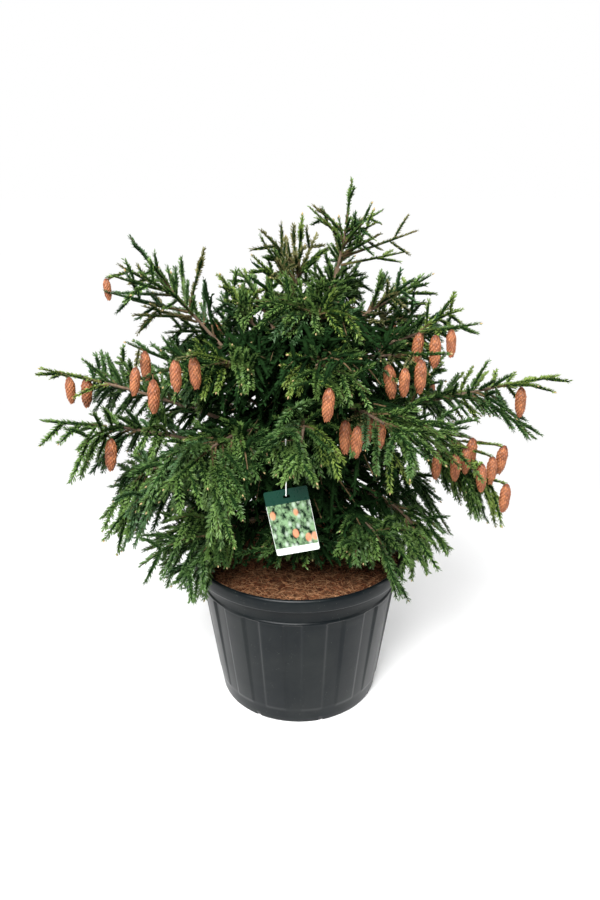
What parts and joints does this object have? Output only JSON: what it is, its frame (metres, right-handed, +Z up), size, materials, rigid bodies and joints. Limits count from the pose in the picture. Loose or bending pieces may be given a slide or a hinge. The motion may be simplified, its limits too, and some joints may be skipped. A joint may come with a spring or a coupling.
{
  "type": "potted acrocona norway spruce",
  "caption": "Bushy evergreen conifer with weeping sprays of dark green needles and hanging brown cones, growing in a round black nursery pot with upright ribs.",
  "frame": {"origin": "middle of the flat underside of the pot, on the ground", "axes": "+Z up along the pot's axis, -Y towards the viewer of the front, +X to that viewer's right"},
  "size_m": [1.103, 0.855, 1.16],
  "materials": {
    "pot": "black moulded plastic, satin and dusty",
    "soil": "rough red-brown bark and coir fibre compost",
    "bark": "scaly brown bark",
    "needles": "dark green needles with brown cones",
    "label_card": "printed plastic card",
    "label_tie": "white plastic tie"
  },
  "bodies": {
    "root": {"back_high_bough": "bark", "back_high_foliage": "needles", "back_left_high_bough": "bark", "back_left_high_foliage": "needles", "back_left_low_foliage": "needles", "back_left_middle_bough": "bark", "back_left_middle_foliage": "needles", "back_left_top_foliage": "needles", "back_low_foliage": "needles", "back_middle_bough": "bark", "back_middle_foliage": "needles", "back_right_high_bough": "bark", "back_right_high_foliage": "needles", "back_right_low_foliage": "needles", "back_right_middle_bough": "bark", "back_right_middle_foliage": "needles", "back_top_foliage": "needles", "front_high_foliage": "needles", "front_left_high_bough": "bark", "front_left_high_foliage": "needles", "front_left_low_foliage": "needles", "front_left_middle_bough": "bark", "front_left_middle_foliage": "needles", "front_low_foliage": "needles", "front_middle_bough": "bark", "front_middle_foliage": "needles", "front_right_high_bough": "bark", "front_right_high_foliage": "needles", "front_right_low_foliage": "needles", "front_right_middle_bough": "bark", "front_right_middle_foliage": "needles", "front_top_foliage": "needles", "label_tie": "label_tie", "leader_foliage": "needles", "left_crown_foliage": "needles", "left_high_bough": "bark", "left_high_foliage": "needles", "left_long_bough": "bark", "left_long_foliage": "needles", "left_low_foliage": "needles", "left_middle_bough": "bark", "left_middle_foliage": "needles", "left_skirt_foliage": "needles", "left_stem": "bark", "left_top_foliage": "needles", "outer_left_bough": "bark", "outer_left_foliage": "needles", "plant_label": "label_card", "pot": "pot", "right_high_bough": "bark", "right_high_foliage": "needles", "right_long_bough": "bark", "right_long_foliage": "needles", "right_low_foliage": "needles", "right_top_bough": "bark", "right_top_foliage": "needles", "right_weeping_bough": "bark", "right_weeping_foliage": "needles", "soil": "soil", "trunk": "bark"}
  },
  "joints": []
}
